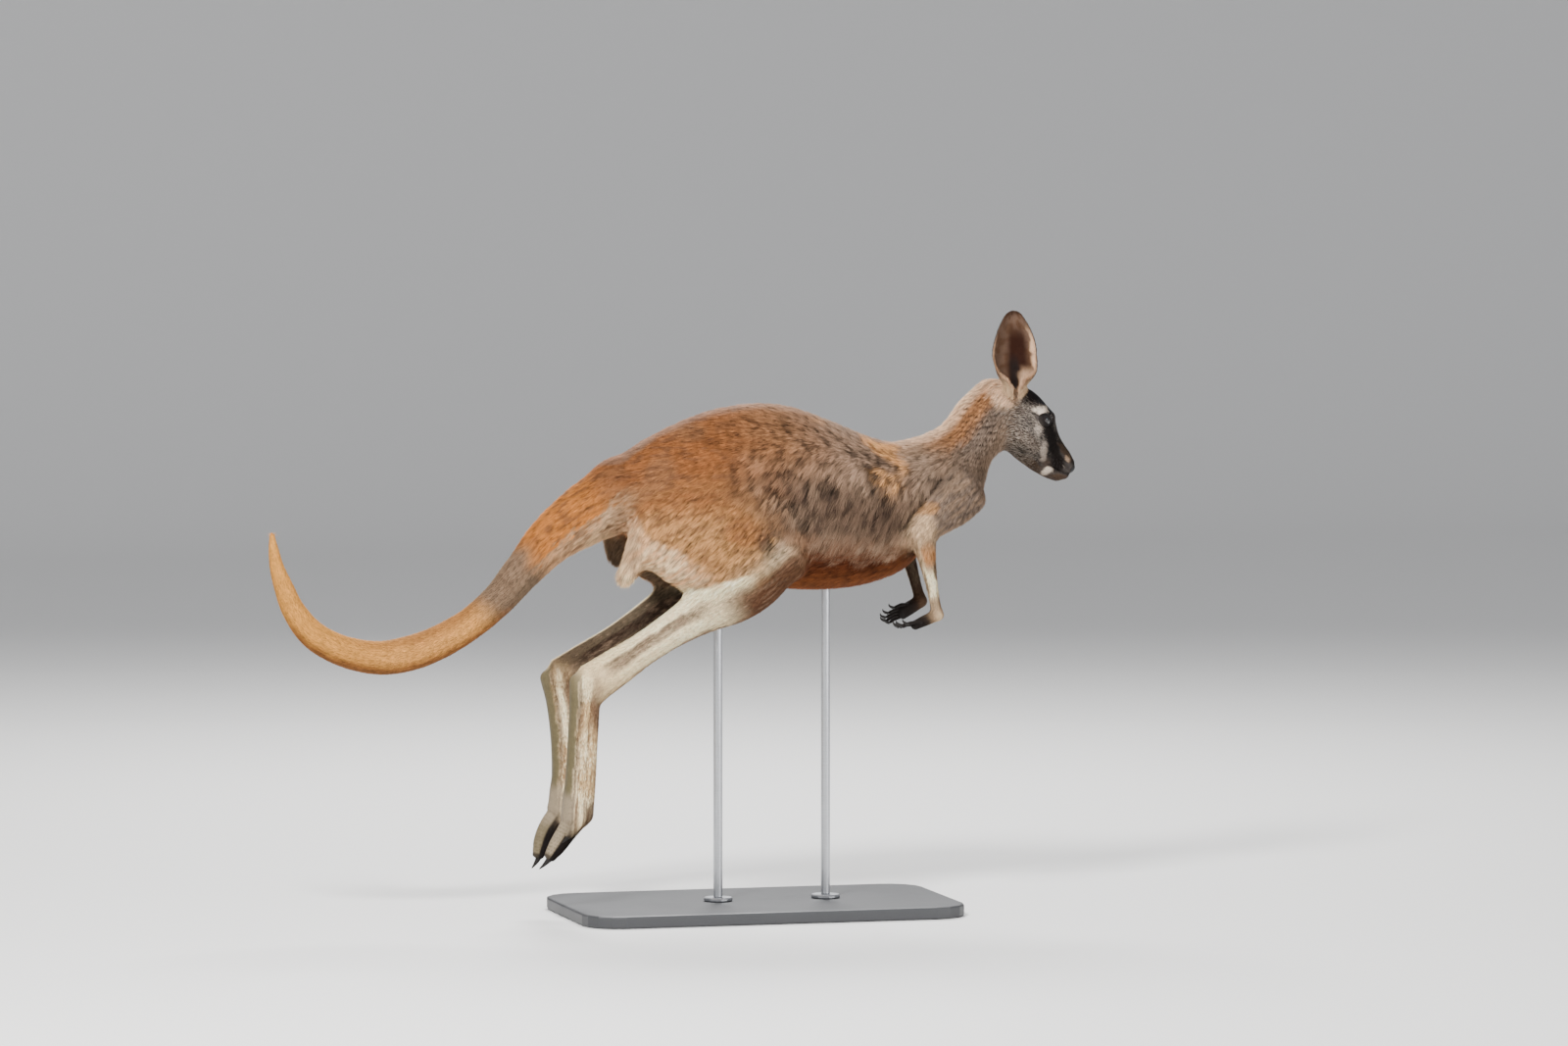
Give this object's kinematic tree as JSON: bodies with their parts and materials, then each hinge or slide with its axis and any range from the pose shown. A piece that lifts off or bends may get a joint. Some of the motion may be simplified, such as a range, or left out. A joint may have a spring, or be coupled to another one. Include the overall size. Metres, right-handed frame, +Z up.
{
  "type": "kangaroo model on stand",
  "caption": "Life-size red kangaroo in mid-leap, head forward, tail curved up behind and hind feet hanging, held over a flat plate by two upright rods.",
  "frame": {"origin": "centre of the underside of the stand's plate", "axes": "+X the way the animal leaps, nose end; +Y the animal's left; +Z up"},
  "size_m": [1.3541, 0.36, 0.9817],
  "materials": {
    "rufous_coat": "short dense fur, orange-brown on the rump, fawn-brown on the back",
    "grey_coat": "short fur, grizzled grey with white and black",
    "tail_coat": "short flat fur, golden tan",
    "cream_coat": "very short flat fur, cream white",
    "dark_coat": "very short fur, brown black",
    "ear_coat": "thin fur, brown inside with a cream rim",
    "nose_skin": "bare moist skin, black",
    "eye": "polished, dark brown",
    "claw_horn": "horn, polished by wear, black",
    "stand_plate": "satin dark grey",
    "stand_steel": "brushed round bar"
  },
  "bodies": {
    "root": {"trunk": "rufous_coat", "neck": "rufous_coat", "head": "grey_coat", "nose": "nose_skin", "tail_base": "rufous_coat", "tail_middle": "tail_coat", "tail_tip": "tail_coat", "eye_left": "eye", "ear_left": "ear_coat", "upper_arm_left": "grey_coat", "forearm_left": "grey_coat", "hand_left": "dark_coat", "thigh_left": "rufous_coat", "shin_left": "cream_coat", "foot_left": "cream_coat", "toe_main_left": "cream_coat", "toe_outer_left": "cream_coat", "toe_inner_left": "cream_coat", "claw_main_left": "claw_horn", "claw_outer_left": "claw_horn", "claw_inner_left": "claw_horn", "claw_hand_left_1": "claw_horn", "claw_hand_left_2": "claw_horn", "claw_hand_left_3": "claw_horn", "claw_hand_left_4": "claw_horn", "claw_hand_left_5": "claw_horn", "eye_right": "eye", "ear_right": "ear_coat", "upper_arm_right": "grey_coat", "forearm_right": "grey_coat", "hand_right": "dark_coat", "thigh_right": "rufous_coat", "shin_right": "cream_coat", "foot_right": "cream_coat", "toe_main_right": "cream_coat", "toe_outer_right": "cream_coat", "toe_inner_right": "cream_coat", "claw_main_right": "claw_horn", "claw_outer_right": "claw_horn", "claw_inner_right": "claw_horn", "claw_hand_right_1": "claw_horn", "claw_hand_right_2": "claw_horn", "claw_hand_right_3": "claw_horn", "claw_hand_right_4": "claw_horn", "claw_hand_right_5": "claw_horn", "stand_base": "stand_plate", "stand_rod_front": "stand_steel", "stand_rod_rear": "stand_steel", "stand_flange_front": "stand_steel", "stand_flange_rear": "stand_steel"}
  },
  "joints": []
}
